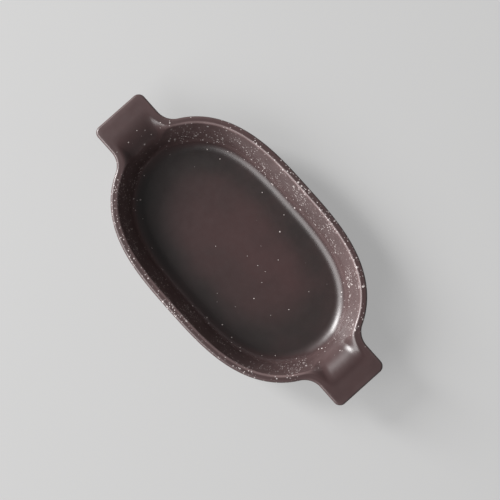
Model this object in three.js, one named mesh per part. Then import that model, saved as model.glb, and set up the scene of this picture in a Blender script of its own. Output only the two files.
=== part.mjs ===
// Oval eared dish in glazed stoneware, in millimetres, +Z up.
// The origin is the centre of the foot, on the table. +X is the long axis, through the right ear.
// The finished surface is a stack of closed rings round the dish, from the foot up the outside, over the
// rim and down the well. A skin is a depth under that surface: the glaze starts at 0, the clay lies deeper.
import * as THREE from 'three';
import { mergeVertices } from 'three/addons/utils/BufferGeometryUtils.js';

// Oval body
const bodyLength = 240;
const bodyWidth = 150;
const endFullness = 3.0;
const sideFullness = 2.07;
const overallHeight = 42;
const wallThickness = 5.6;
const floorInset = 24;
const floorFilletSide = 11;
const floorFilletEnd = 13;

// Lip
const lipFlat = 4;
const lipRoll = 2.3;
const rimRound = 2;

// Ears
const earWidth = 50;
const earReach = 29.3;
const earThickness = 8;
const earCornerRadius = 6;
const earRootRadius = 17;
const earLowerRound = 2.5;
const earUnderFillet = 5;
const earRollStart = 12;
const earRollFullHalfWidth = 13;
const earRollEndHalfWidth = 36;
const earEdgeFairing = 6;
const earFilletFairing = 9;

// Foot and glaze
const footReveal = 2;
const footInset = 1;
const footWidth = 4;
const footChamfer = 0.5;
const glazeThickness = 0.6;
const seamGap = 0.4;

// Mesh density, in segments
const endLineSteps = 3;
const cornerSteps = 3;
const flankSteps = 1;
const rootSteps = 6;
const sideSteps = 8;
const rollSteps = 4;
const filletSteps = 4;
const lowerArcSteps = 3;
const roundSteps = 2;
const outlineSamples = 2000;

// Levels that follow from the sizes above
const halfLength = bodyLength / 2;
const halfWidth = bodyWidth / 2;
const floorLevel = footReveal + wallThickness;
const innerDepth = overallHeight - floorLevel;
const claySkin = glazeThickness + seamGap;
const clayBaseLevel = footReveal + claySkin;
const glazeLine = overallHeight - rimRound;
const earEnd = halfLength + earReach;

// Slope of the wall from level, so that along the sides it touches both the floor's fillet and the lip's
// inner roll
const sideRun = floorInset - lipFlat;
const sideRounds = floorFilletSide + lipRoll;
const slope = Math.asin(sideRounds / Math.hypot(sideRun, sideRounds - innerDepth))
  - Math.atan2(sideRounds - innerDepth, sideRun);

const mix = (a, b, t) => a + (b - a) * t;
const plan = (x, y) => new THREE.Vector2(x, y);
const along = (point, direction, distance) => point.clone().addScaledVector(direction, distance);

function smooth(t) {
  const clamped = Math.min(1, Math.max(0, t));
  return clamped * clamped * (3 - 2 * clamped);
}

// Point on the oval body: |x/a|^endFullness + |y/b|^sideFullness = 1, in the quarter x, y >= 0
function ovalPoint(angle) {
  const x = halfLength * Math.abs(Math.cos(angle)) ** (2 / endFullness);
  const y = halfWidth * Math.abs(Math.sin(angle)) ** (2 / sideFullness);
  return plan(x, y);
}

function ovalInward(point) {
  const x = (endFullness / halfLength) * (point.x / halfLength) ** (endFullness - 1);
  const y = (sideFullness / halfWidth) * (point.y / halfWidth) ** (sideFullness - 1);
  return plan(-x, -y).normalize();
}

// Points spaced evenly along the oval from one angle to another, both ends included
function ovalRun(fromAngle, toAngle, steps) {
  const fine = [];
  for (let i = 0; i <= outlineSamples; i += 1) {
    fine.push(ovalPoint(mix(fromAngle, toAngle, i / outlineSamples)));
  }
  const lengths = [0];
  for (let i = 1; i < fine.length; i += 1) {
    lengths.push(lengths[i - 1] + fine[i].distanceTo(fine[i - 1]));
  }
  const total = lengths[lengths.length - 1];
  const points = [];
  let k = 0;
  for (let i = 0; i <= steps; i += 1) {
    const goal = (total * i) / steps;
    while (k < fine.length - 2 && lengths[k + 1] < goal) {
      k += 1;
    }
    const part = (goal - lengths[k]) / (lengths[k + 1] - lengths[k]);
    points.push(fine[k].clone().lerp(fine[k + 1], part));
  }
  return points;
}

// Angle of the oval's point that lies nearest to a point outside the oval
function nearestAngle(point) {
  let nearest = 0;
  for (let i = 0; i <= outlineSamples; i += 1) {
    const angle = (Math.PI / 2) * (i / outlineSamples);
    if (ovalPoint(angle).distanceTo(point) < ovalPoint(nearest).distanceTo(point)) {
      nearest = angle;
    }
  }
  return nearest;
}

// The arc between an ear's flank and the oval touches both, so its centre is one radius from each
function earRootArc() {
  const centreOffset = (angle) => {
    const point = ovalPoint(angle);
    return along(point, ovalInward(point), -earRootRadius);
  };
  const goal = earWidth / 2 + earRootRadius;
  let low = 0;
  let high = Math.PI / 2;
  for (let i = 0; i < 60; i += 1) {
    const middle = (low + high) / 2;
    if (centreOffset(middle).y < goal) {
      low = middle;
    } else {
      high = middle;
    }
  }
  const touch = ovalPoint(high);
  return { angle: high, centre: centreOffset(high), touch };
}

// Outline of one ear from the middle of its end to the touch point on the oval, with inward normals
function earEdge(root) {
  const halfEar = earWidth / 2;
  const edge = [];
  const straight = halfEar - earCornerRadius;
  for (let i = 0; i < endLineSteps; i += 1) {
    edge.push({ point: plan(earEnd, (straight * i) / endLineSteps), inward: plan(-1, 0) });
  }
  const corner = plan(earEnd - earCornerRadius, straight);
  for (let i = 0; i < cornerSteps; i += 1) {
    const turn = (Math.PI / 2) * (i / cornerSteps);
    const outward = plan(Math.cos(turn), Math.sin(turn));
    edge.push({ point: along(corner, outward, earCornerRadius), inward: outward.negate() });
  }
  for (let i = 0; i < flankSteps; i += 1) {
    const x = mix(corner.x, root.centre.x, i / flankSteps);
    edge.push({ point: plan(x, halfEar), inward: plan(0, -1) });
  }
  const toTouch = root.touch.clone().sub(root.centre);
  const startTurn = -Math.PI / 2;
  const endTurn = Math.atan2(toTouch.y, toTouch.x);
  const sweep = endTurn > 0 ? endTurn - 2 * Math.PI - startTurn : endTurn - startTurn;
  for (let i = 0; i <= rootSteps; i += 1) {
    const turn = startTurn + sweep * (i / rootSteps);
    const inward = plan(Math.cos(turn), Math.sin(turn));
    edge.push({ point: along(root.centre, inward, earRootRadius), inward });
  }
  return edge;
}

// One station of the quarter: the plan points and the cross-section there, without any skin
function makeStation(body, edge) {
  const inward = ovalInward(body);
  const ear = 1 - smooth((body.y - earRollFullHalfWidth) / (earRollEndHalfWidth - earRollFullHalfWidth));
  const rimPoint = edge.point;
  const lipOnBody = along(body, inward, lipFlat);
  const lipOnEar = along(rimPoint, edge.inward, rimRound);
  const reachRatio = (earRollStart + lipFlat) / (earReach - rimRound + lipFlat);
  const lip = lipOnBody.clone().lerp(lipOnEar, ear * reachRatio);
  const floor = along(body, inward, floorInset);
  const outward = lip.clone().sub(floor);
  const run = outward.length();
  outward.normalize();
  const filletRadius = mix(floorFilletSide, floorFilletEnd, ear);
  // The roll from the lip into the well takes up what the wall at its slope and the fillet leave
  const roundsTogether = (run * Math.sin(slope) - innerDepth * Math.cos(slope)) / (1 - Math.cos(slope));
  const rollRadius = roundsTogether - filletRadius;
  const reach = rimPoint.distanceTo(body);
  return {
    body, inward, rimPoint, rimInward: edge.inward, lip, floor, outward, rollRadius, filletRadius,
    edgeOverhang: smooth(reach / earEdgeFairing),
    filletOverhang: smooth(reach / earFilletFairing),
  };
}

// Stations from the middle of the right end to the middle of the far side. Along the root arc each one
// starts from the oval's nearest point, and before it they are spaced evenly.
function makeQuarter() {
  const root = earRootArc();
  const edge = earEdge(root);
  const arcStart = edge.length - 1 - rootSteps;
  const endRun = ovalRun(0, nearestAngle(edge[arcStart].point), arcStart);
  for (let i = arcStart + 1; i < edge.length - 1; i += 1) {
    endRun.push(ovalPoint(nearestAngle(edge[i].point)));
  }
  endRun.push(root.touch);
  const stations = endRun.map((body, i) => makeStation(body, edge[i]));
  const sideRun = ovalRun(root.angle, Math.PI / 2, sideSteps).slice(1);
  for (const body of sideRun) {
    stations.push(makeStation(body, { point: body, inward: ovalInward(body) }));
  }
  return stations;
}

const quarter = makeQuarter();

// A ring is the quarter's points mirrored round the dish, anticlockwise from above
function ring(pointAt) {
  const points = quarter.map(pointAt);
  const last = points.length - 1;
  const full = [];
  for (let i = 0; i < last; i += 1) {
    full.push([points[i].x, points[i].y, points[i].z]);
  }
  for (let i = last; i > 0; i -= 1) {
    full.push([-points[i].x, points[i].y, points[i].z]);
  }
  for (let i = 0; i < last; i += 1) {
    full.push([-points[i].x, -points[i].y, points[i].z]);
  }
  for (let i = last; i > 0; i -= 1) {
    full.push([points[i].x, -points[i].y, points[i].z]);
  }
  return full;
}

const raised = (point, z) => ({ x: point.x, y: point.y, z });

// Outer wall in plan at a height, on the line that leaves the lower arc at the wall's slope
function wallPlan(station, z) {
  const radius = station.filletRadius + wallThickness;
  const arcTop = floorLevel + station.filletRadius - radius * Math.cos(slope);
  const reach = radius * Math.sin(slope) + (z - arcTop) / Math.tan(slope);
  return along(station.floor, station.outward, reach);
}

// Between the plain wall at a height and the ear's own point, by how far the ear has come out there
function faired(station, plainHeight, earPoint, overhang) {
  const plain = wallPlan(station, plainHeight);
  return {
    x: mix(plain.x, earPoint.x, overhang),
    y: mix(plain.y, earPoint.y, overhang),
    z: mix(plainHeight, earPoint.z, overhang),
  };
}

// A point on the fillets at both faces of the wall, which share a centre over the edge of the floor
function filletPoint(station, radius, turn) {
  const point = along(station.floor, station.outward, radius * Math.sin(turn));
  return raised(point, floorLevel + station.filletRadius - radius * Math.cos(turn));
}

// From the foot line up the outside to the glaze line on the rim's edge
function outsideRings() {
  const underside = overallHeight - earThickness;
  const filletBase = underside - earUnderFillet;
  const rings = [];
  for (let i = 0; i <= lowerArcSteps; i += 1) {
    const turn = slope * (i / lowerArcSteps);
    rings.push(ring((station) => filletPoint(station, station.filletRadius + wallThickness, turn)));
  }
  for (let i = 0; i <= roundSteps; i += 1) {
    const turn = (Math.PI / 2) * (i / roundSteps);
    const height = filletBase + earUnderFillet * Math.sin(turn);
    rings.push(ring((station) => {
      const fromWall = earUnderFillet * (1 - Math.cos(turn));
      const point = along(wallPlan(station, filletBase), station.outward, fromWall);
      return faired(station, height, raised(point, height), station.filletOverhang);
    }));
  }
  for (let i = 0; i <= roundSteps; i += 1) {
    const turn = (Math.PI / 2) * (i / roundSteps);
    const plainHeight = underside + (earLowerRound * (i + 1)) / (roundSteps + 1);
    rings.push(ring((station) => {
      const point = along(station.rimPoint, station.rimInward, earLowerRound * (1 - Math.sin(turn)));
      const earPoint = raised(point, underside + earLowerRound * (1 - Math.cos(turn)));
      return faired(station, plainHeight, earPoint, station.edgeOverhang);
    }));
  }
  rings.push(ring((station) => raised(station.rimPoint, glazeLine)));
  return rings;
}

// From the glaze line over the rim, down the well and across the floor, without its centre
function insideRings() {
  const rings = [];
  for (let i = 0; i <= roundSteps; i += 1) {
    const turn = (Math.PI / 2) * (i / roundSteps);
    rings.push(ring((station) => {
      const point = along(station.rimPoint, station.rimInward, rimRound * (1 - Math.cos(turn)));
      return raised(point, glazeLine + rimRound * Math.sin(turn));
    }));
  }
  for (let i = 0; i <= rollSteps; i += 1) {
    const turn = slope * (i / rollSteps);
    rings.push(ring((station) => {
      const point = along(station.lip, station.outward, -station.rollRadius * Math.sin(turn));
      return raised(point, overallHeight - station.rollRadius * (1 - Math.cos(turn)));
    }));
  }
  for (let i = filletSteps; i >= 0; i -= 1) {
    const turn = slope * (i / filletSteps);
    rings.push(ring((station) => filletPoint(station, station.filletRadius, turn)));
  }
  return rings;
}

// Joins each ring to the next, from the first to the last. The diagonals are mirrored from quarter to quarter.
function bandIndex(rings, joins) {
  const around = rings[0].length;
  const index = [];
  for (let r = 0; r < joins; r += 1) {
    const a = r * around;
    const b = ((r + 1) % rings.length) * around;
    for (let i = 0; i < around; i += 1) {
      const next = (i + 1) % around;
      if (Math.floor((4 * i) / around) % 2 === 0) {
        index.push(a + i, a + next, b + i);
        index.push(a + next, b + next, b + i);
      } else {
        index.push(a + i, a + next, b + next);
        index.push(a + i, b + next, b + i);
      }
    }
  }
  return index;
}

function indexedGeometry(positions, index) {
  const geometry = new THREE.BufferGeometry();
  geometry.setAttribute('position', new THREE.Float32BufferAttribute(positions, 3));
  geometry.setIndex(index);
  return geometry;
}

// A closed body whose first and last rings close on centre points
function cappedSolid(rings) {
  const positions = rings.flat(2);
  const index = bandIndex(rings, rings.length - 1);
  const around = rings[0].length;
  const lastRing = (rings.length - 1) * around;
  const firstCentre = positions.length / 3;
  positions.push(0, 0, rings[0][0][2]);
  positions.push(0, 0, rings[rings.length - 1][0][2]);
  for (let i = 0; i < around; i += 1) {
    const next = (i + 1) % around;
    index.push(firstCentre, next, i);
    index.push(firstCentre + 1, lastRing + i, lastRing + next);
  }
  return indexedGeometry(positions, index);
}

// A closed body whose last ring joins the first
const loopedSolid = (rings) => indexedGeometry(rings.flat(2), bandIndex(rings, rings.length));

// A closed body whose first and last rings are folded flat, so that each closes on itself
function foldedSolid(rings) {
  const open = indexedGeometry(rings.flat(2), bandIndex(rings, rings.length - 1));
  const merged = mergeVertices(open, 1e-4);
  const index = [];
  for (let t = 0; t < merged.index.count; t += 3) {
    const corners = [0, 1, 2].map((k) => merged.index.getX(t + k));
    if (new Set(corners).size === 3) {
      index.push(...corners);
    }
  }
  merged.setIndex(index);
  return merged;
}

// The finished surface from the foot line round to the floor. Two rings are known by number: the one on
// the glaze line and the one at the end of the fillet under an ear.
const lowerRings = outsideRings();
const glazeRing = lowerRings.length - 1;
const seatRing = lowerArcSteps + roundSteps + 1;
const surface = [...lowerRings, ...insideRings().slice(1)];

const finished = cappedSolid(surface);
finished.computeVertexNormals();
const around = surface[0].length;
const surfaceNormals = surface.map((points, r) => points.map((_, i) =>
  [0, 1, 2].map((part) => finished.attributes.normal.getComponent(r * around + i, part))));

// The surface at a depth under the finished one. The glaze line keeps its level.
function skinRings(skin) {
  return surface.map((points, r) => points.map((point, i) => {
    const moved = point.map((value, part) => value - surfaceNormals[r][i][part] * skin);
    return r === glazeRing ? [moved[0], moved[1], glazeLine] : moved;
  }));
}

const outside = (skin) => skinRings(skin).slice(0, glazeRing + 1);
const inside = (skin) => skinRings(skin).slice(glazeRing);

const innerGlazeGeometry = () => cappedSolid([...inside(glazeThickness).reverse(), ...inside(0)]);
const outerGlazeGeometry = () => loopedSolid([...outside(0), ...outside(glazeThickness).reverse()]);

function footRingGeometry() {
  const top = clayBaseLevel - seamGap;
  const footRing = (inset, z) =>
    ring((station) => raised(along(station.floor, station.inward, footInset + inset), z));
  return loopedSolid([
    footRing(footChamfer, 0),
    footRing(0, footChamfer),
    footRing(0, top),
    footRing(footWidth, top),
    footRing(footWidth, footChamfer),
    footRing(footWidth - footChamfer, 0),
  ]);
}

// A section of the clay is a column through its rings, from the foot out and over the rim to the floor
const clayRings = skinRings(claySkin);
const claySection = (i) => clayRings.map((points) => points[(i + around) % around]);
const between = (a, b, t) => a.map((value, part) => mix(value, b[part], t));

// The upright seat where an ear is joined on, over the end of the fillet under the ear or a clearance
// beyond it: its foot, its top, and the number of rings from the foot's ring to the first one past the top
function seatIn(section, clearance) {
  const middle = section[section.length - 1];
  const reach = (point) => Math.hypot(point[0] - middle[0], point[1] - middle[1]);
  const seatReach = reach(section[seatRing]) + clearance;
  const pointAt = (near, far) => between(near, far, (seatReach - reach(near)) / (reach(far) - reach(near)));
  let past = section.length - 1;
  while (reach(section[past - 1]) < seatReach) {
    past -= 1;
  }
  return {
    foot: pointAt(section[seatRing], section[seatRing + 1]),
    top: pointAt(section[past], section[past - 1]),
    rise: past - seatRing,
  };
}

// The bowl's section has the seat in place of the ear's part
function seatedSection(section) {
  const seat = seatIn(section, 0);
  return section.map((point, r) => {
    const row = r - seatRing;
    return row <= 0 || row >= seat.rise ? point : between(seat.foot, seat.top, row / (seat.rise - 1));
  });
}

// An ear is joined on at the stations where it is fully out, up to this one on either side of its middle
const lastSeated = quarter.findIndex((station) => station.edgeOverhang < 1) - 1;
const earMiddles = { right: 0, left: around / 2 };

function bowlGeometry() {
  const sections = clayRings[0].map((_, i) => claySection(i));
  for (const middle of Object.values(earMiddles)) {
    for (let i = middle - lastSeated; i <= middle + lastSeated; i += 1) {
      const place = (i + around) % around;
      sections[place] = seatedSection(sections[place]);
    }
  }
  return cappedSolid(clayRings.map((_, r) => sections.map((section) => section[r])));
}

// One ear as rings from its foot line up to its top line. Each ring runs round the ear's edge and back
// along the seat, and where the top line lies lower it has already closed.
function earGeometry(middle) {
  const offsets = [];
  for (let i = -lastSeated; i <= lastSeated; i += 1) {
    offsets.push(i);
  }
  const seats = offsets.map((i) => seatIn(claySection(middle + i), seamGap));
  const rows = Math.max(...seats.map((seat) => seat.rise));
  const edgeAt = (k, row) => {
    const seat = seats[k];
    const open = row > 0 && row < seat.rise;
    return open ? claySection(middle + offsets[k])[seatRing + row] : [seat.foot, seat.top][row > 0 ? 1 : 0];
  };
  const seatAt = (k, row) => between(seats[k].foot, seats[k].top, Math.min(1, row / seats[k].rise));
  // Beside the last seat the ear runs on towards the next section, short of the bowl by the gap, which
  // is crossed at a slant there
  const besideAt = (k, side, row) => {
    const point = edgeAt(k, row);
    if (row === 0 || row >= seats[k].rise) {
      return point;
    }
    const next = claySection(middle + offsets[k] + side)[seatRing + row];
    const distance = Math.hypot(...point.map((value, part) => next[part] - value));
    return between(point, next, Math.max(0, 1 - (2 * seamGap) / distance));
  };
  const last = offsets.length - 1;
  const centre = lastSeated;
  const rings = [];
  for (let row = 0; row <= rows; row += 1) {
    const edge = offsets.map((_, k) => edgeAt(k, row));
    const seat = offsets.map((_, k) => seatAt(k, row)).reverse();
    rings.push([
      ...edge.slice(centre), besideAt(last, 1, row), ...seat, besideAt(0, -1, row), ...edge.slice(0, centre),
    ]);
  }
  return foldedSolid(rings);
}

const stoneware = { color: 0x94826f, roughness: 0.85, metalness: 0 };
const darkGlaze = { color: 0x4a3c3b, roughness: 0.3, metalness: 0 };

function addPiece(group, name, geometry, finish) {
  geometry.computeVertexNormals();
  const mesh = new THREE.Mesh(geometry, new THREE.MeshStandardMaterial(finish));
  mesh.name = name;
  group.add(mesh);
}

const dish = new THREE.Group();
addPiece(dish, 'bowl_shell', bowlGeometry(), stoneware);
addPiece(dish, 'ear_left', earGeometry(earMiddles.left), stoneware);
addPiece(dish, 'ear_right', earGeometry(earMiddles.right), stoneware);
addPiece(dish, 'foot_ring', footRingGeometry(), stoneware);
addPiece(dish, 'inner_glaze', innerGlazeGeometry(), darkGlaze);
addPiece(dish, 'outer_glaze', outerGlazeGeometry(), darkGlaze);

export default dish;
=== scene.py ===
"""Oval eared dish in speckled maroon stoneware glaze, on a plain pale floor.

Laid out as an add-on: sizes and colours are properties, and each piece has its own operator.
Lengths are metres. +X is the long axis of the dish, through the right ear, and +Z is up.
"""

import math

import bpy
import numpy as np
from mathutils import Matrix, Vector


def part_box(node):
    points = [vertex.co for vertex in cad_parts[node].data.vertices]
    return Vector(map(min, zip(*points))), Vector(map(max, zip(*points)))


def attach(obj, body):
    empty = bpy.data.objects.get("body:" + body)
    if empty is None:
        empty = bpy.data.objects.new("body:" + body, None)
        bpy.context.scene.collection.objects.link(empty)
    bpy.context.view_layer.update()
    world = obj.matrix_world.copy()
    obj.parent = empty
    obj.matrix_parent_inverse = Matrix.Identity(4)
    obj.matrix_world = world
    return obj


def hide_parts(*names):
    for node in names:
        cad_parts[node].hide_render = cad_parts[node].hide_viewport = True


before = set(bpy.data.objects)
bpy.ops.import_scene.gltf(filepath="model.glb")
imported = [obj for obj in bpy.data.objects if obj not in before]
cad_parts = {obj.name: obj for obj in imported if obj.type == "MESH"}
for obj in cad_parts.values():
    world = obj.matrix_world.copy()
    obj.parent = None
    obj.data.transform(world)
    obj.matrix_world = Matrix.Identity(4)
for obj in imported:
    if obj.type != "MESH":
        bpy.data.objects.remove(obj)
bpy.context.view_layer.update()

bl_info = {
    "name": "Oval Eared Dish",
    "version": (1, 0, 0),
    "blender": (4, 5, 0),
    "location": "View3D > Sidebar > Dish",
    "description": "Builds a glazed oval dish with tab ears and its studio",
    "category": "Object",
}

# Heights and reaches of the dish, from the parts in model.glb
FOOT_LOW, FOOT_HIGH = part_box("foot_ring")
GLAZE_LOW, GLAZE_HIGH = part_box("outer_glaze")
EAR_END, HALF_WIDTH, DISH_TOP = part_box("inner_glaze")[1]
FOOT_REVEAL = GLAZE_LOW[2]
GLAZE_LINE = GLAZE_HIGH[2]

# Steps round a quarter of the dish, and steps along its section
STEPS = {"end": 12, "corner": 12, "flank": 18, "root": 22, "side": 52}
LOWER_ARC_STEPS = 12
ROUND_STEPS = 8
ROLL_STEPS = 24
FILLET_STEPS = 18
WALL_PARTS = (0.2, 0.4, 0.6, 0.8)
FLAT_PARTS = (0.25, 0.5, 0.75)
FLOOR_PARTS = (0.94, 0.88, 0.8, 0.7, 0.55, 0.35, 0.15)
OUTLINE_SAMPLES = 4000
BISECTIONS = 60

# How pale the glaze turns: 1 where it breaks thin to its pale colour and at the painted highlight and
# sheen, 0 on a level face, -1 where it is darker towards the floor's edge
THIN_AND_SHEEN = {
    "lower edge": 0.3,
    "rim": 0.15,
    "rim edge": 0.2,
    "lip": 0.08,
    # Painted highlight along the middle of the lip's inner roll
    "roll highlight": 0.6,
    "wall top": 0.5,
    "wall foot": 0.32,
    # Darker towards the floor's edge and down the fillet
    "floor_edge_dark": -0.8,
}
# Share of the paling that the wall and the roll keep at the ears, where it is a painted sheen
EAR_WALL_SHEEN = 0.85
EAR_ROLL_SHEEN = 0.42
# Where the darkening ends on the floor's fillet: 1 is the top of the fillet, and more ends it sooner
FLOOR_DARK_END = 1.15

# How many grains show in the glaze, from 0 to 1
SPECKLED = {
    "lower arc": 0.35,
    "outer wall": 0.45,
    "outer edge": 0.4,
    "lip": 0.8,
    "wall": 1.0,
    "ear lip": 0.0,
    "ear roll": 0.1,
    "ear wall": 0.2,
    "fillet top": 0.51,
    "floor": 0.01,
}


def length(name, description, default):
    """A length property in metres."""
    return bpy.props.FloatProperty(
        name=name, description=description, default=default, min=0.0, precision=5, unit="LENGTH"
    )


def number(name, description, default):
    """A property without a unit."""
    return bpy.props.FloatProperty(name=name, description=description, default=default)


def colour(name, description, default):
    """A linear colour property."""
    return bpy.props.FloatVectorProperty(
        name=name, description=description, default=default, size=3, min=0.0, max=1.0, subtype="COLOR"
    )


def turned(name, description, degrees):
    """An angle property."""
    return bpy.props.FloatProperty(
        name=name, description=description, default=math.radians(degrees), subtype="ANGLE", unit="ROTATION"
    )


class DishSizes(bpy.types.PropertyGroup):
    """Sizes of the finished dish."""

    body_half_length: length("Body half length", "Centre to the end of the oval body", 0.120)
    body_half_width: length("Body half width", "Centre to the side of the oval body", HALF_WIDTH)
    end_fullness: number("End fullness", "Exponent of the oval along its length", 3.0)
    side_fullness: number("Side fullness", "Exponent of the oval across", 2.07)
    wall: length("Wall", "Thickness of the wall and the floor", 0.0056)
    floor_inset: length("Floor inset", "Rim to the flat of the floor, seen from above", 0.024)
    fillet_side: length("Side fillet", "Radius from floor to wall at the sides", 0.011)
    fillet_end: length("End fillet", "Radius from floor to wall at the ears", 0.013)
    lip_flat: length("Lip flat", "Width of the lip before its inner round", 0.004)
    lip_roll: length("Lip roll", "Inner round of the lip along the sides", 0.0023)
    rim_round: length("Rim round", "Radius of the rim's outer edge", DISH_TOP - GLAZE_LINE)
    ear_half_width: length("Ear half width", "Half the width of an ear", 0.025)
    ear_thickness: length("Ear thickness", "Thickness of an ear", 0.008)
    ear_corner: length("Ear corner", "Radius of an ear's corners in plan", 0.006)
    ear_root: length("Ear root", "Radius from an ear's flank to the oval in plan", 0.017)
    ear_lower_round: length("Ear lower round", "Radius of an ear's lower edge", 0.0025)
    ear_under_fillet: length("Ear under fillet", "Radius from the wall to an ear's underside", 0.005)
    edge_fairing: length("Edge fairing", "Overhang over which an ear's edge comes out", 0.006)
    fillet_fairing: length("Fillet fairing", "Overhang over which the fillet under an ear comes out", 0.009)
    roll_start: length("Roll start", "Body's end to the start of the roll on an ear", 0.012)
    roll_full: length("Roll full", "Half width of the full roll", 0.013)
    roll_end: length("Roll end", "Half width where the roll has become the lip", 0.036)
    glaze: length("Glaze thickness", "Thickness of the glaze coat", 0.0006)
    foot_width: length("Foot width", "Width of the foot ring", 0.004)
    foot_inset: length("Foot inset", "Edge of the floor's flat to the foot ring", 0.001)
    foot_round: length("Foot round", "Radius of the foot ring's edges", 0.0007)


class DishColours(bpy.types.PropertyGroup):
    """Colours of the glaze, the clay and the stage."""

    glaze_maroon: colour("Maroon", "Glaze over the floor, the lip and the ears", (0.067, 0.031, 0.031))
    # Darker colour laid towards the floor's edge and down the fillet
    glaze_dark: colour("Dark", "Glaze darker towards the floor's edge", (0.026, 0.017, 0.016))
    # Pale colour of glaze that breaks thin on the edges, also laid on as a painted highlight along the
    # lip's roll and a painted sheen up the walls
    glaze_thin_and_sheen: colour("Thin", "Glaze where it breaks pale on the edges, and painted highlight and sheen", (0.310, 0.215, 0.212))
    speckle: colour("Speckle", "Pale grains in the glaze", (0.860, 0.770, 0.750))
    clay: colour("Clay", "Bare fired stoneware", (0.270, 0.190, 0.135))
    clay_grog: colour("Grog", "Dark grains in the stoneware", (0.090, 0.058, 0.040))
    floor: colour("Floor", "Floor of the studio", (0.315, 0.313, 0.311))
    backdrop: colour("Backdrop", "Paleness that the floor keeps in the picture", (0.335, 0.335, 0.335))


class DishStudio(bpy.types.PropertyGroup):
    """Camera and light of the studio."""

    view_azimuth: turned("View azimuth", "Turn of the view round +Z", 48.27)
    view_elevation: turned("View elevation", "Height of the view over level", 87.0)
    view_distance: length("View distance", "Camera to the middle of the rim", 0.838)
    view_right: length("View right", "Sideways move of the camera", 0.0092)
    view_down: length("View down", "Downward move of the camera in the picture", 0.0012)
    lens: number("Lens", "Focal length in millimetres", 50.0)
    sensor: number("Sensor", "Sensor width in millimetres", 24.0)
    key_azimuth: turned("Key azimuth", "Key light, from the picture's left towards its top", 26.0)
    key_elevation: turned("Key elevation", "Height of the key light over level", 31.0)
    key_power: number("Key power", "Watts of the key light", 80.0)
    key_width: length("Key width", "Width of the key light", 0.7)
    key_height: length("Key height", "Height of the key light", 1.5)
    side_azimuth: turned("Side azimuth", "Side light, from the picture's left towards its foot", 22.0)
    side_elevation: turned("Side elevation", "Height of the side light over level", 42.0)
    side_power: number("Side power", "Watts of the side light", 55.0)
    side_width: length("Side width", "Width of the side light", 2.4)
    side_height: length("Side height", "Height of the side light", 2.2)
    light_distance: length("Light distance", "Dish to either light", 3.0)
    sky_level: number("Sky level", "Strength of the even light", 0.11)


def mix(a, b, t):
    return a + (b - a) * t


def smooth(t):
    t = min(1.0, max(0.0, t))
    return t * t * (3 - 2 * t)


def unit(v):
    return v / np.linalg.norm(v)


def well_depth(sizes):
    return DISH_TOP - FOOT_REVEAL - sizes.wall


def wall_slope(sizes):
    """Slope of the wall from level, where it touches the floor's fillet and the lip's inner roll."""
    run = sizes.floor_inset - sizes.lip_flat
    rounds = sizes.fillet_side + sizes.lip_roll
    below = rounds - well_depth(sizes)
    return math.asin(rounds / math.hypot(run, below)) - math.atan2(below, run)


class Section:
    """One station of the quarter outline: plan points and radii of the cross-section there."""

    def __init__(self, sizes, body, edge, edge_inward):
        inward = oval_inward(sizes, body)
        ear_reach = EAR_END - sizes.body_half_length
        spread = (body[1] - sizes.roll_full) / (sizes.roll_end - sizes.roll_full)
        self.ear = 1 - smooth(spread)
        self.edge = edge
        self.edge_inward = edge_inward
        self.inward = inward
        lip_on_body = body + inward * sizes.lip_flat
        lip_on_ear = edge + edge_inward * sizes.rim_round
        reach = (sizes.roll_start + sizes.lip_flat) / (ear_reach - sizes.rim_round + sizes.lip_flat)
        self.lip = mix(lip_on_body, lip_on_ear, self.ear * reach)
        self.floor = body + inward * sizes.floor_inset
        run = np.linalg.norm(self.lip - self.floor)
        self.outward = unit(self.lip - self.floor)
        self.fillet = mix(sizes.fillet_side, sizes.fillet_end, self.ear)
        slope = wall_slope(sizes)
        rounds = (run * math.sin(slope) - well_depth(sizes) * math.cos(slope)) / (1 - math.cos(slope))
        self.roll = rounds - self.fillet
        overhang = np.linalg.norm(edge - body)
        self.edge_out = smooth(overhang / sizes.edge_fairing)
        self.fillet_out = smooth(overhang / sizes.fillet_fairing)


def oval_point(sizes, angle):
    """A point on |x/a|^end_fullness + |y/b|^side_fullness = 1 in the first quarter."""
    x = sizes.body_half_length * abs(math.cos(angle)) ** (2 / sizes.end_fullness)
    y = sizes.body_half_width * abs(math.sin(angle)) ** (2 / sizes.side_fullness)
    return np.array((x, y))


def oval_inward(sizes, point):
    a, b = sizes.body_half_length, sizes.body_half_width
    p, q = sizes.end_fullness, sizes.side_fullness
    x = p / a * (max(point[0], 0.0) / a) ** (p - 1)
    y = q / b * (max(point[1], 0.0) / b) ** (q - 1)
    return -unit(np.array((x, y)))


def oval_run(sizes, start, end, steps):
    """Points spaced evenly along the oval between two angles."""
    fine = np.array([oval_point(sizes, a) for a in np.linspace(start, end, OUTLINE_SAMPLES)])
    travelled = np.concatenate(([0.0], np.cumsum(np.linalg.norm(np.diff(fine, axis=0), axis=1))))
    goals = np.linspace(0.0, travelled[-1], steps + 1)
    return np.stack([np.interp(goals, travelled, fine[:, k]) for k in range(2)], axis=1)


def nearest_angle(sizes, point):
    """Angle of the oval's point that lies nearest to a point outside the oval."""
    angles = np.linspace(0, math.pi / 2, OUTLINE_SAMPLES)
    return min(angles, key=lambda a: np.linalg.norm(oval_point(sizes, a) - point))


def root_arc(sizes):
    """The arc that touches both an ear's flank and the oval: its angle on the oval and its centre."""

    def centre(angle):
        point = oval_point(sizes, angle)
        return point - oval_inward(sizes, point) * sizes.ear_root

    goal = sizes.ear_half_width + sizes.ear_root
    low, high = 0.0, math.pi / 2
    for _ in range(BISECTIONS):
        middle = (low + high) / 2
        if centre(middle)[1] < goal:
            low = middle
        else:
            high = middle
    return high, centre(high)


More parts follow.
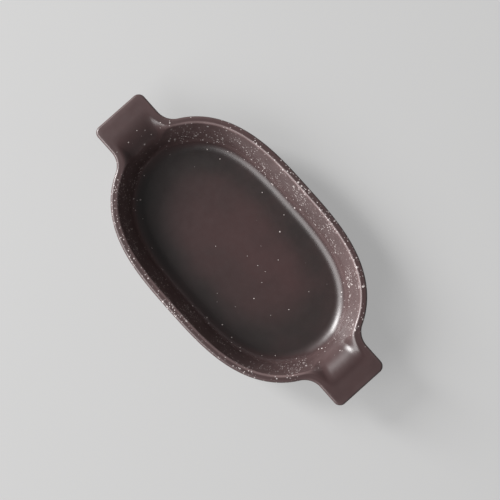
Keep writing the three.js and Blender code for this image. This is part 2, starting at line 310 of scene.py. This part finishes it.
def ear_edge(sizes, angle, centre):
    """Outline of an ear from the middle of its end to the oval, as points and inward normals."""
    straight = sizes.ear_half_width - sizes.ear_corner
    corner = np.array((EAR_END - sizes.ear_corner, straight))
    edge = []
    for y in np.linspace(0, straight, STEPS["end"], endpoint=False):
        edge.append((np.array((EAR_END, y)), np.array((-1.0, 0.0))))
    for turn in np.linspace(0, math.pi / 2, STEPS["corner"], endpoint=False):
        out = np.array((math.cos(turn), math.sin(turn)))
        edge.append((corner + out * sizes.ear_corner, -out))
    for x in np.linspace(corner[0], centre[0], STEPS["flank"], endpoint=False):
        edge.append((np.array((x, sizes.ear_half_width)), np.array((0.0, -1.0))))
    to_touch = oval_point(sizes, angle) - centre
    start = -math.pi / 2
    end = math.atan2(to_touch[1], to_touch[0])
    if end > 0:
        end -= 2 * math.pi
    for turn in np.linspace(start, end, STEPS["root"] + 1):
        out = np.array((math.cos(turn), math.sin(turn)))
        edge.append((centre + out * sizes.ear_root, out))
    return edge


def quarter_sections(sizes):
    angle, centre = root_arc(sizes)
    edge = ear_edge(sizes, angle, centre)
    arc_start = len(edge) - 1 - STEPS["root"]
    bodies = list(oval_run(sizes, 0.0, nearest_angle(sizes, edge[arc_start][0]), arc_start))
    for point, _ in edge[arc_start + 1:-1]:
        bodies.append(oval_point(sizes, nearest_angle(sizes, point)))
    bodies.append(oval_point(sizes, angle))
    sections = [Section(sizes, body, *pair) for body, pair in zip(bodies, edge)]
    for body in oval_run(sizes, angle, math.pi / 2, STEPS["side"])[1:]:
        sections.append(Section(sizes, body, body, oval_inward(sizes, body)))
    return sections


def ring(sections, point_at):
    """A closed ring from the quarter's points, mirrored round the dish anticlockwise from above."""
    quarter = np.array([point_at(s) for s in sections])
    first = quarter[:-1]
    second = quarter[:0:-1] * (-1, 1, 1)
    third = first * (-1, -1, 1)
    fourth = quarter[:0:-1] * (1, -1, 1)
    return np.concatenate((first, second, third, fourth))


def mirrored_value(sections, value_at):
    quarter = np.array([value_at(s) for s in sections])
    return np.concatenate((quarter[:-1], quarter[:0:-1], quarter[:-1], quarter[:0:-1]))


def raised(point, z):
    return (point[0], point[1], z)


def wall_plan(sizes, s, z):
    radius = s.fillet + sizes.wall
    floor_level = FOOT_REVEAL + sizes.wall
    slope = wall_slope(sizes)
    arc_top = floor_level + s.fillet - radius * math.cos(slope)
    reach = radius * math.sin(slope) + (z - arc_top) / math.tan(slope)
    return s.floor + s.outward * reach


def faired(sizes, s, plain_height, ear_point, out):
    """Between the plain wall at a height and the ear's own point, by how far the ear has come out."""
    plain = wall_plan(sizes, s, plain_height)
    return tuple(mix(np.array(raised(plain, plain_height)), np.array(ear_point), out))


def fillet_point(sizes, s, radius, turn):
    level = FOOT_REVEAL + sizes.wall + s.fillet
    return raised(s.floor + s.outward * radius * math.sin(turn), level - radius * math.cos(turn))


class Surface:
    """Rings of a surface with two values a point: how much the glaze is paled and darkened, and how
    speckled it is. The paling is thin glaze, painted highlight and painted sheen.
    """

    def __init__(self, sections):
        self.sections = sections
        self.rings = []
        self.thin_and_sheen = []
        self.speckled = []

    def add(self, point_at, thin_and_sheen=0.0, speckled=0.0):
        self.rings.append(ring(self.sections, point_at))
        for store, value in ((self.thin_and_sheen, thin_and_sheen), (self.speckled, speckled)):
            value_at = value if callable(value) else (lambda s, v=value: v)
            store.append(mirrored_value(self.sections, value_at))


def outside_surface(sizes, sections):
    """From the foot line up the outside to the glaze line on the rim's edge."""
    surface = Surface(sections)
    slope = wall_slope(sizes)
    underside = DISH_TOP - sizes.ear_thickness
    fillet_base = underside - sizes.ear_under_fillet
    for turn in np.linspace(0, slope, LOWER_ARC_STEPS + 1):
        surface.add(
            lambda s, turn=turn: fillet_point(sizes, s, s.fillet + sizes.wall, turn),
            0.0,
            SPECKLED["lower arc"],
        )
    for part in FLAT_PARTS:

        def on_wall(s, part=part):
            arc = fillet_point(sizes, s, s.fillet + sizes.wall, slope)
            z = mix(arc[2], fillet_base, part)
            return raised(wall_plan(sizes, s, z), z)

        surface.add(on_wall, 0.0, SPECKLED["outer wall"])
    for turn in np.linspace(0, math.pi / 2, ROUND_STEPS + 1):

        def under(s, turn=turn):
            height = fillet_base + sizes.ear_under_fillet * math.sin(turn)
            point = wall_plan(sizes, s, fillet_base)
            point = point + s.outward * sizes.ear_under_fillet * (1 - math.cos(turn))
            return faired(sizes, s, height, raised(point, height), s.fillet_out)

        surface.add(under, 0.0, SPECKLED["outer edge"])
    for i in range(ROUND_STEPS + 1):
        turn = math.pi / 2 * i / ROUND_STEPS

        def lower_edge(s, i=i, turn=turn):
            plain_height = underside + sizes.ear_lower_round * (i + 1) / (ROUND_STEPS + 1)
            point = s.edge + s.edge_inward * sizes.ear_lower_round * (1 - math.sin(turn))
            z = underside + sizes.ear_lower_round * (1 - math.cos(turn))
            return faired(sizes, s, plain_height, raised(point, z), s.edge_out)

        surface.add(lower_edge, THIN_AND_SHEEN["lower edge"] * math.sin(2 * turn), SPECKLED["outer edge"])
    surface.add(lambda s: raised(s.edge, GLAZE_LINE), THIN_AND_SHEEN["lower edge"], SPECKLED["outer edge"])
    return surface


def inside_surface(sizes, sections):
    """From the glaze line over the rim, down the well and across the floor."""
    surface = Surface(sections)
    add_rim(surface, sizes)
    add_roll(surface, sizes)
    add_inner_wall(surface, sizes)
    add_floor(surface, sizes)
    return surface


def add_rim(surface, sizes):
    """The rim's outer round and the flat of the lip."""

    def speckled(s):
        return mix(SPECKLED["lip"], SPECKLED["ear lip"], s.ear)

    for turn in np.linspace(0, math.pi / 2, ROUND_STEPS + 1):

        def rim(s, turn=turn):
            point = s.edge + s.edge_inward * sizes.rim_round * (1 - math.cos(turn))
            return raised(point, GLAZE_LINE + sizes.rim_round * math.sin(turn))

        surface.add(rim, THIN_AND_SHEEN["rim"] + THIN_AND_SHEEN["rim edge"] * math.sin(2 * turn), speckled)
    for part in FLAT_PARTS:

        def on_lip(s, part=part):
            start = s.edge + s.edge_inward * sizes.rim_round
            return raised(mix(start, s.lip, part), DISH_TOP)

        surface.add(on_lip, THIN_AND_SHEEN["lip"], speckled)


def roll_point(sizes, s, turn):
    """A point on the round from the lip into the well."""
    point = s.lip - s.outward * s.roll * math.sin(turn)
    return raised(point, DISH_TOP - s.roll * (1 - math.cos(turn)))


def add_roll(surface, sizes):
    """The round from the lip into the well, with a painted highlight palest at its middle along the sides,
    and a painted sheen towards its foot at the ears.
    """
    slope = wall_slope(sizes)
    for i in range(ROLL_STEPS + 1):
        part = i / ROLL_STEPS

        def thin_and_sheen(s, part=part):
            # A painted highlight along the middle of the roll
            edge = THIN_AND_SHEEN["roll highlight"] * math.sin(math.pi * part)
            on_side = edge + mix(THIN_AND_SHEEN["lip"], THIN_AND_SHEEN["wall top"], part)
            # At the ears, a painted sheen towards the foot of the roll
            return mix(EAR_ROLL_SHEEN * part**2, on_side, 1 - s.ear)

        def speckled(s, part=part):
            on_side = mix(SPECKLED["lip"], SPECKLED["wall"], part)
            return mix(on_side, mix(SPECKLED["ear lip"], SPECKLED["ear roll"], part), s.ear)

        surface.add(lambda s, part=part: roll_point(sizes, s, slope * part), thin_and_sheen, speckled)


def add_inner_wall(surface, sizes):
    """The straight stretch of the wall, paler towards its top from thin glaze and a painted highlight, and
    the fillet at its foot, darker towards the floor.
    """
    slope = wall_slope(sizes)
    for part in WALL_PARTS:

        def on_wall(s, part=part):
            top = np.array(roll_point(sizes, s, slope))
            return tuple(mix(top, np.array(fillet_point(sizes, s, s.fillet, slope)), part))

        # Paler towards the top of the wall: thin glaze, and a painted highlight leading up to the lip
        def thin_and_sheen(s, part=part):
            # At the ears the wall keeps most of its paling as a painted sheen
            return mix(THIN_AND_SHEEN["wall top"], THIN_AND_SHEEN["wall foot"], part) * mix(1.0, EAR_WALL_SHEEN, s.ear)

        surface.add(on_wall, thin_and_sheen, lambda s: mix(SPECKLED["wall"], SPECKLED["ear wall"], s.ear))
    for i in range(FILLET_STEPS, -1, -1):
        part = i / FILLET_STEPS

        # Darker down the fillet towards the floor
        def thin_and_sheen(s, part=part):
            top = THIN_AND_SHEEN["wall foot"] * mix(1.0, EAR_WALL_SHEEN, s.ear)
            return mix(THIN_AND_SHEEN["floor_edge_dark"], top, smooth(FLOOR_DARK_END * part))

        surface.add(
            lambda s, part=part: fillet_point(sizes, s, s.fillet, slope * part),
            thin_and_sheen,
            mix(SPECKLED["floor"], SPECKLED["fillet top"], part**2),
        )


def add_floor(surface, sizes):
    """The flat of the floor, darker towards its edge."""
    dark_start, dark_width = 0.45, 0.5
    for part in FLOOR_PARTS:
        surface.add(
            lambda s, part=part: raised(s.floor * part, FOOT_REVEAL + sizes.wall),
            THIN_AND_SHEEN["floor_edge_dark"] * smooth((part - dark_start) / dark_width),
            SPECKLED["floor"],
        )


def plain_object(name, vertices, faces):
    mesh = bpy.data.meshes.new(name)
    mesh.from_pydata([tuple(v) for v in vertices], [], faces)
    mesh.update()
    obj = bpy.data.objects.new(name, mesh)
    bpy.context.scene.collection.objects.link(obj)
    return obj


def surface_object(name, surface, capped):
    """A mesh from rings. With capped, the last ring closes on a centre point at its own height."""
    around = len(surface.rings[0])
    vertices = np.concatenate(surface.rings)
    faces = []
    for r in range(len(surface.rings) - 1):
        a, b = r * around, (r + 1) * around
        for i in range(around):
            n = (i + 1) % around
            faces.append((a + i, a + n, b + n, b + i))
    thin_and_sheen = np.concatenate(surface.thin_and_sheen)
    speckled = np.concatenate(surface.speckled)
    if capped:
        last = (len(surface.rings) - 1) * around
        centre = len(vertices)
        vertices = np.concatenate((vertices, [(0.0, 0.0, surface.rings[-1][0][2])]))
        faces += [(last + i, last + (i + 1) % around, centre) for i in range(around)]
        thin_and_sheen = np.append(thin_and_sheen, thin_and_sheen[-1])
        speckled = np.append(speckled, speckled[-1])
    obj = plain_object(name, vertices, faces)
    for label, values in (("thin_glaze_and_sheen", thin_and_sheen), ("speckled", speckled)):
        attribute = obj.data.attributes.new(label, "FLOAT", "POINT")
        attribute.data.foreach_set("value", values.astype(np.float32))
    obj.data.shade_smooth()
    return obj


def new_tree(name, sockets):
    """A geometry tree with a geometry input and output, and named inputs of its own."""
    tree = bpy.data.node_groups.new(name, "GeometryNodeTree")
    tree.interface.new_socket("Geometry", in_out="INPUT", socket_type="NodeSocketGeometry")
    for label, kind in sockets:
        tree.interface.new_socket(label, in_out="INPUT", socket_type=kind)
    tree.interface.new_socket("Geometry", in_out="OUTPUT", socket_type="NodeSocketGeometry")
    return tree, tree.nodes.new("NodeGroupInput"), tree.nodes.new("NodeGroupOutput")


def close_tree(tree, start, geometry, end):
    """Realize Instances and Set Material, as the end of a tree."""
    realize = tree.nodes.new("GeometryNodeRealizeInstances")
    finish = tree.nodes.new("GeometryNodeSetMaterial")
    tree.links.new(geometry, realize.inputs["Geometry"])
    tree.links.new(realize.outputs["Geometry"], finish.inputs["Geometry"])
    tree.links.new(start.outputs["Material"], finish.inputs["Material"])
    tree.links.new(finish.outputs["Geometry"], end.inputs["Geometry"])


def coat_tree():
    """A surface thickened inwards into a closed coat."""
    sockets = (("Thickness", "NodeSocketFloat"), ("Material", "NodeSocketMaterial"))
    tree, start, end = new_tree("Glaze coat", sockets)
    inwards = tree.nodes.new("ShaderNodeMath")
    inwards.operation = "MULTIPLY"
    inwards.inputs[1].default_value = -1.0
    extrude = tree.nodes.new("GeometryNodeExtrudeMesh")
    extrude.mode = "FACES"
    extrude.inputs["Individual"].default_value = False
    flip = tree.nodes.new("GeometryNodeFlipFaces")
    join = tree.nodes.new("GeometryNodeJoinGeometry")
    merge = tree.nodes.new("GeometryNodeMergeByDistance")
    merge.inputs["Distance"].default_value = 1e-6
    link = tree.links.new
    link(start.outputs["Thickness"], inwards.inputs[0])
    link(start.outputs["Geometry"], extrude.inputs["Mesh"])
    link(inwards.outputs[0], extrude.inputs["Offset Scale"])
    link(extrude.outputs["Mesh"], flip.inputs["Mesh"])
    link(flip.outputs["Mesh"], join.inputs["Geometry"])
    link(start.outputs["Geometry"], join.inputs["Geometry"])
    link(join.outputs["Geometry"], merge.inputs["Geometry"])
    close_tree(tree, start, merge.outputs["Geometry"], end)
    return tree


def ring_tree():
    """A rounded bar swept round a closed line."""
    sockets = (
        ("Width", "NodeSocketFloat"),
        ("Height", "NodeSocketFloat"),
        ("Round", "NodeSocketFloat"),
        ("Material", "NodeSocketMaterial"),
    )
    tree, start, end = new_tree("Foot ring", sockets)
    path = tree.nodes.new("GeometryNodeMeshToCurve")
    upright = tree.nodes.new("GeometryNodeSetCurveNormal")
    upright.mode = "Z_UP"
    bar = tree.nodes.new("GeometryNodeCurvePrimitiveQuadrilateral")
    rounded = tree.nodes.new("GeometryNodeFilletCurve")
    rounded.mode = "POLY"
    rounded.inputs["Count"].default_value = 5
    sweep = tree.nodes.new("GeometryNodeCurveToMesh")
    link = tree.links.new
    link(start.outputs["Geometry"], path.inputs["Mesh"])
    link(path.outputs["Curve"], upright.inputs["Curve"])
    link(start.outputs["Width"], bar.inputs["Width"])
    link(start.outputs["Height"], bar.inputs["Height"])
    link(bar.outputs["Curve"], rounded.inputs["Curve"])
    link(start.outputs["Round"], rounded.inputs["Radius"])
    link(upright.outputs["Curve"], sweep.inputs["Curve"])
    link(rounded.outputs["Curve"], sweep.inputs["Profile Curve"])
    close_tree(tree, start, sweep.outputs["Mesh"], end)
    return tree


def applied(source, tree, values, name):
    """The plain mesh that a tree makes of an object, as a new object. The source is removed."""
    modifier = source.modifiers.new(tree.name, "NODES")
    modifier.node_group = tree
    sockets = {s.name: s.identifier for s in tree.interface.items_tree if s.in_out == "INPUT"}
    for label, value in values.items():
        modifier[sockets[label]] = value
    depsgraph = bpy.context.evaluated_depsgraph_get()
    mesh = bpy.data.meshes.new_from_object(source.evaluated_get(depsgraph))
    source_mesh = source.data
    bpy.data.objects.remove(source)
    bpy.data.meshes.remove(source_mesh)
    mesh.name = name
    obj = bpy.data.objects.new(name, mesh)
    bpy.context.scene.collection.objects.link(obj)
    obj.data.shade_smooth()
    return obj


class Nodes:
    """A short hand for building a material's nodes."""

    def __init__(self, name):
        self.material = bpy.data.materials.new(name)
        self.material.use_nodes = True
        self.tree = self.material.node_tree
        self.shader = self.tree.nodes["Principled BSDF"]
        self.place = self.add("ShaderNodeTexCoord").outputs["Object"]

    def add(self, kind, **settings):
        node = self.tree.nodes.new(kind)
        for label, value in settings.items():
            setattr(node, label, value)
        return node

    def link(self, source, target):
        if isinstance(source, (int, float)):
            target.default_value = source
        elif isinstance(source, (tuple, list)) or hasattr(source, "foreach_get") or hasattr(source, "r"):
            target.default_value = (*source, 1.0)
        else:
            self.tree.links.new(source, target)

    def math(self, operation, a, b=0.0, clamp=False):
        node = self.add("ShaderNodeMath", operation=operation, use_clamp=clamp)
        self.link(a, node.inputs[0])
        self.link(b, node.inputs[1])
        return node.outputs[0]

    def ramp(self, value, low, high):
        node = self.add("ShaderNodeMapRange", interpolation_type="SMOOTHSTEP")
        self.link(value, node.inputs["Value"])
        node.inputs["From Min"].default_value = low
        node.inputs["From Max"].default_value = high
        return node.outputs["Result"]

    def blend(self, factor, a, b):
        node = self.add("ShaderNodeMix", data_type="RGBA")
        self.link(factor, node.inputs["Factor"])
        self.link(a, node.inputs[6])
        self.link(b, node.inputs[7])
        return node.outputs[2]

    def noise(self, scale, detail=3.0, roughness=0.5):
        node = self.add("ShaderNodeTexNoise")
        self.link(self.place, node.inputs["Vector"])
        node.inputs["Scale"].default_value = scale
        node.inputs["Detail"].default_value = detail
        node.inputs["Roughness"].default_value = roughness
        return node.outputs["Fac"]

    def attribute(self, name):
        return self.add("ShaderNodeAttribute", attribute_name=name).outputs["Fac"]

    def bump(self, height, strength, distance, normal=None):
        node = self.add("ShaderNodeBump")
        self.link(height, node.inputs["Height"])
        node.inputs["Strength"].default_value = strength
        node.inputs["Distance"].default_value = distance
        if normal is not None:
            self.link(normal, node.inputs["Normal"])
        return node.outputs["Normal"]

    def grains(self, scale, largest, amount):
        """Round grains: 1 inside a grain, 0 outside. More of them show as the amount grows."""
        cells = self.add("ShaderNodeTexVoronoi")
        self.link(self.place, cells.inputs["Vector"])
        cells.inputs["Scale"].default_value = scale
        parts = self.add("ShaderNodeSeparateColor")
        self.link(cells.outputs["Color"], parts.inputs["Color"])
        radius = self.math("MULTIPLY", parts.outputs["Green"], largest)
        inside = self.math("SUBTRACT", radius, cells.outputs["Distance"])
        disc = self.ramp(inside, 0.0, 0.06)
        shown = self.math("LESS_THAN", parts.outputs["Red"], amount)
        return self.math("MULTIPLY", disc, shown)


def glaze_material(colours):
    n = Nodes("Speckled maroon glaze")
    thin_and_sheen = n.attribute("thin_glaze_and_sheen")
    cloud = n.noise(22.0, 4.0, 0.55)
    # Darker towards the floor's edge and the foot of the fillet, with random clouds over it
    floor_edge_dark = n.ramp(n.math("MULTIPLY", thin_and_sheen, -1.0), 0.0, 1.0)
    clouded = n.math("MULTIPLY", n.ramp(cloud, 0.35, 0.7), 0.35)
    dark_share = n.math("ADD", n.math("MULTIPLY", floor_edge_dark, 0.8), clouded, True)
    base = n.blend(dark_share, colours.glaze_maroon, colours.glaze_dark)
    uneven = n.math("ADD", n.math("MULTIPLY", n.ramp(n.noise(90.0), 0.3, 0.7), 0.35), 0.75, True)
    # Pales the glaze where it breaks thin, and paints the highlight along the lip's roll and the sheen up
    # the walls
    breaking_and_sheen = n.math("MULTIPLY", n.math("MAXIMUM", thin_and_sheen, 0.0), uneven)
    base = n.blend(breaking_and_sheen, base, colours.glaze_thin_and_sheen)
    cluster = n.ramp(n.noise(45.0, 2.0), 0.38, 0.68)
    crowding = n.math("ADD", n.math("MULTIPLY", cluster, 0.75), 0.12)
    amount = n.math("MULTIPLY", n.attribute("speckled"), crowding)
    fine = n.grains(760.0, 0.46, amount)
    coarse = n.grains(460.0, 0.48, n.math("MULTIPLY", n.math("POWER", amount, 1.3), 0.7))
    speckle = n.math("MAXIMUM", fine, coarse)
    n.link(n.blend(n.math("MULTIPLY", speckle, 0.9), base, colours.speckle), n.shader.inputs["Base Color"])
    rough = n.math("ADD", n.math("MULTIPLY", n.noise(160.0), 0.08), 0.31)
    n.link(rough, n.shader.inputs["Roughness"])
    n.shader.inputs["Metallic"].default_value = 0.0
    n.shader.inputs["IOR"].default_value = 1.9
    wave = n.bump(n.noise(60.0, 2.0), 0.25, 0.0004)
    peel = n.bump(n.noise(1400.0, 2.0), 0.12, 0.00006, wave)
    n.link(n.bump(speckle, 0.3, 0.00008, peel), n.shader.inputs["Normal"])
    return n.material


def clay_material(colours):
    n = Nodes("Bare stoneware")
    mottled = n.ramp(n.noise(70.0, 5.0, 0.6), 0.3, 0.75)
    pale = tuple(c * 0.78 for c in colours.clay)
    base = n.blend(mottled, colours.clay, pale)
    grog = n.grains(900.0, 0.45, 0.35)
    n.link(n.blend(n.math("MULTIPLY", grog, 0.6), base, colours.clay_grog), n.shader.inputs["Base Color"])
    n.link(n.math("ADD", n.math("MULTIPLY", mottled, 0.1), 0.8), n.shader.inputs["Roughness"])
    tooth = n.bump(n.noise(1100.0, 4.0, 0.7), 0.5, 0.00012)
    n.link(n.bump(grog, 0.3, 0.0001, tooth), n.shader.inputs["Normal"])
    return n.material


def floor_material(colours):
    n = Nodes("Pale studio floor")
    tone = n.ramp(n.noise(3.0, 2.0), 0.2, 0.8)
    pale = tuple(min(1.0, c * 1.02) for c in colours.floor)
    n.link(n.blend(tone, colours.floor, pale), n.shader.inputs["Base Color"])
    n.link(n.add("ShaderNodeLightPath").outputs["Is Camera Ray"], n.shader.inputs["Emission Strength"])
    n.link(colours.backdrop, n.shader.inputs["Emission Color"])
    n.shader.inputs["Roughness"].default_value = 0.9
    n.shader.inputs["Specular IOR Level"].default_value = 0.2
    return n.material


def shared_material(name, make):
    """The material of that name, made the first time it is asked for."""
    found = bpy.data.materials.get(name)
    return found or make(bpy.context.scene.dish_colours)


def glaze():
    return shared_material("Speckled maroon glaze", glaze_material)


def clay():
    return shared_material("Bare stoneware", clay_material)


class DISH_OT_inner_glaze(bpy.types.Operator):
    """Build the glaze coat of the well, the lip and the tops of the ears"""

    bl_idname = "dish.inner_glaze"
    bl_label = "Inner Glaze"

    def execute(self, context):
        sizes = context.scene.dish_sizes
        surface = inside_surface(sizes, quarter_sections(sizes))
        source = surface_object("well_surface", surface, True)
        values = {"Thickness": sizes.glaze, "Material": glaze()}
        coat = applied(source, coat_tree(), values, "well_and_lip_glaze")
        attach(coat, "root")
        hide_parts("inner_glaze")
        return {"FINISHED"}


class DISH_OT_outer_glaze(bpy.types.Operator):
    """Build the glaze coat of the outer wall and the undersides of the ears"""

    bl_idname = "dish.outer_glaze"
    bl_label = "Outer Glaze"

    def execute(self, context):
        sizes = context.scene.dish_sizes
        surface = outside_surface(sizes, quarter_sections(sizes))
        source = surface_object("wall_surface", surface, False)
        values = {"Thickness": sizes.glaze, "Material": glaze()}
        coat = applied(source, coat_tree(), values, "outer_wall_glaze")
        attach(coat, "root")
        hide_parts("outer_glaze")
        return {"FINISHED"}


class DISH_OT_foot_ring(bpy.types.Operator):
    """Sweep the bare foot ring round the edge of the base"""

    bl_idname = "dish.foot_ring"
    bl_label = "Foot Ring"

    def execute(self, context):
        sizes = context.scene.dish_sizes
        height = FOOT_HIGH[2] - FOOT_LOW[2]
        middle = sizes.foot_inset + sizes.foot_width / 2
        sections = quarter_sections(sizes)
        line = ring(sections, lambda s: raised(s.floor + s.inward * middle, FOOT_LOW[2] + height / 2))
        mesh = bpy.data.meshes.new("foot_line")
        count = len(line)
        mesh.from_pydata([tuple(p) for p in line], [(i, (i + 1) % count) for i in range(count)], [])
        source = bpy.data.objects.new("foot_line", mesh)
        context.scene.collection.objects.link(source)
        values = {
            "Width": sizes.foot_width,
            "Height": height,
            "Round": sizes.foot_round,
            "Material": clay(),
        }
        foot = applied(source, ring_tree(), values, "bare_foot_ring")
        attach(foot, "root")
        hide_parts("foot_ring")
        return {"FINISHED"}


class DISH_OT_clay_body(bpy.types.Operator):
    """Give the clay body and the ears their stoneware finish"""

    bl_idname = "dish.clay_body"
    bl_label = "Clay Body"

    def execute(self, context):
        for name in ("bowl_shell", "ear_left", "ear_right"):
            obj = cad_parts[name]
            obj.data.materials.clear()
            obj.data.materials.append(clay())
        return {"FINISHED"}


class DISH_OT_stage(bpy.types.Operator):
    """Build the floor, the soft light and the camera"""

    bl_idname = "dish.stage"
    bl_label = "Stage"

    def execute(self, context):
        scene = context.scene
        studio = scene.dish_studio
        self.lay_floor(scene)
        self.light(scene, studio)
        self.aim_camera(scene, studio)
        scene.view_settings.view_transform = "Standard"
        return {"FINISHED"}

    def lay_floor(self, scene):
        reach = 3.0
        corners = [(-reach, -reach, 0), (reach, -reach, 0), (reach, reach, 0), (-reach, reach, 0)]
        floor = plain_object("studio_floor", corners, [(0, 1, 2, 3)])
        floor.data.materials.append(floor_material(scene.dish_colours))

    def picture_axes(self, studio):
        """The picture's right, up and back directions in the dish's frame."""
        az, el = studio.view_azimuth, studio.view_elevation
        right = Vector((math.cos(az), math.sin(az), 0.0))
        back = Vector((math.sin(az) * math.cos(el), -math.cos(az) * math.cos(el), math.sin(el)))
        return right, back.cross(right), back

    def light(self, scene, studio):
        world = bpy.data.worlds.new("Even sky")
        world.use_nodes = True
        sky = world.node_tree.nodes["Background"]
        sky.inputs["Color"].default_value = (1.0, 1.0, 1.0, 1.0)
        sky.inputs["Strength"].default_value = studio.sky_level
        scene.world = world
        left = studio.view_azimuth + math.pi
        key = (left - studio.key_azimuth, studio.key_elevation)
        self.hang(studio, "Key light", key, (studio.key_width, studio.key_height), studio.key_power)
        side = (left + studio.side_azimuth, studio.side_elevation)
        self.hang(studio, "Side light", side, (studio.side_width, studio.side_height), studio.side_power)

    def hang(self, studio, name, place, size, power):
        """A rectangular light aimed at the dish, at an azimuth from +X and an elevation."""
        azimuth, elevation = place
        level = math.cos(elevation)
        toward = Vector((math.cos(azimuth) * level, math.sin(azimuth) * level, math.sin(elevation)))
        lamp = bpy.data.lights.new(name, "AREA")
        lamp.shape = "RECTANGLE"
        lamp.size, lamp.size_y = size
        lamp.energy = power
        light = bpy.data.objects.new(name, lamp)
        light.location = toward * studio.light_distance
        light.rotation_euler = toward.to_track_quat("Z", "Y").to_euler()
        bpy.context.scene.collection.objects.link(light)

    def aim_camera(self, scene, studio):
        right, up, back = self.picture_axes(studio)
        data = bpy.data.cameras.new("Camera")
        data.lens = studio.lens
        data.sensor_width = studio.sensor
        camera = bpy.data.objects.new("Camera", data)
        target = Vector((0.0, 0.0, DISH_TOP))
        place = target + back * studio.view_distance + right * studio.view_right - up * studio.view_down
        turn = Matrix((right, up, back)).transposed().to_4x4()
        camera.matrix_world = Matrix.Translation(place) @ turn
        scene.collection.objects.link(camera)
        scene.camera = camera


class DISH_PT_panel(bpy.types.Panel):
    """Sizes, colours and the operators that build the dish"""

    bl_idname = "DISH_PT_panel"
    bl_label = "Oval Eared Dish"
    bl_space_type = "VIEW_3D"
    bl_region_type = "UI"
    bl_category = "Dish"

    def draw(self, context):
        for operator in OPERATORS:
            self.layout.operator(operator.bl_idname)
        for group in (context.scene.dish_sizes, context.scene.dish_colours, context.scene.dish_studio):
            box = self.layout.box()
            for name in group.bl_rna.properties.keys():
                if name not in {"rna_type", "name"}:
                    box.prop(group, name)


OPERATORS = (
    DISH_OT_inner_glaze,
    DISH_OT_outer_glaze,
    DISH_OT_foot_ring,
    DISH_OT_clay_body,
    DISH_OT_stage,
)
GROUPS = {"dish_sizes": DishSizes, "dish_colours": DishColours, "dish_studio": DishStudio}


def register():
    for cls in (*GROUPS.values(), *OPERATORS, DISH_PT_panel):
        bpy.utils.register_class(cls)
    for name, cls in GROUPS.items():
        setattr(bpy.types.Scene, name, bpy.props.PointerProperty(type=cls))


def unregister():
    for name in GROUPS:
        delattr(bpy.types.Scene, name)
    for cls in (DISH_PT_panel, *reversed(OPERATORS), *reversed(GROUPS.values())):
        bpy.utils.unregister_class(cls)


def main():
    register()
    bpy.ops.dish.stage()
    bpy.ops.dish.inner_glaze()
    bpy.ops.dish.outer_glaze()
    bpy.ops.dish.foot_ring()
    bpy.ops.dish.clay_body()


if __name__ == "__main__":
    main()
